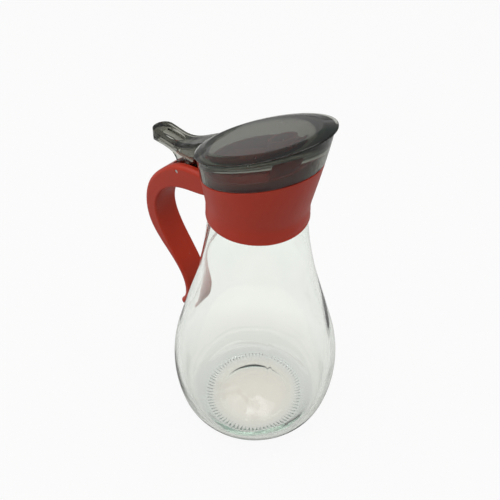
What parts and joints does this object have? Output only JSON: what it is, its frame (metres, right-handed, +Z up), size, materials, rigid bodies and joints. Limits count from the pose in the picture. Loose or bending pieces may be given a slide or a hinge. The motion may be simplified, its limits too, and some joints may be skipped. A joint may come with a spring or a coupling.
{
  "type": "oil bottle",
  "caption": "Bulb-shaped glass oil bottle with a screw-on collar and loop handle, and a slanted smoky lid that a thumb lever lifts for pouring.",
  "frame": {"origin": "on the bottle's axis, in the plane of the flat ring that it stands on", "axes": "+Z up along the bottle, handle on -X, pouring side on +X"},
  "size_m": [0.1214, 0.0908, 0.1982],
  "materials": {
    "clear_glass": "clear, faintly grey-green in the thick base",
    "seal_rubber": "soft, matt",
    "red_plastic": "satin brick-red moulding",
    "insert_plastic": "satin brick-red moulding",
    "smoky_plastic": "glossy, see-through smoke grey",
    "pin_steel": "bright drawn pin",
    "spring_steel": "spring wire"
  },
  "bodies": {
    "bottle": {"glass_bottle": "clear_glass", "neck_gasket": "seal_rubber", "collar_handle": "red_plastic", "pour_insert": "insert_plastic", "hinge_pin": "pin_steel", "torsion_spring": "spring_steel"},
    "lid": {"lid": "smoky_plastic"}
  },
  "joints": [
    {"name": "lid_hinge", "type": "hinge", "parent": "bottle", "child": "lid", "pos_m": [-0.048, 0, 0.1455], "axis": [0, -1, 0], "range_deg": [0, 44], "stiffness_Nm_per_rad": 0.025, "springref_deg": -34.38, "deforming": ["torsion_spring"]}
  ]
}
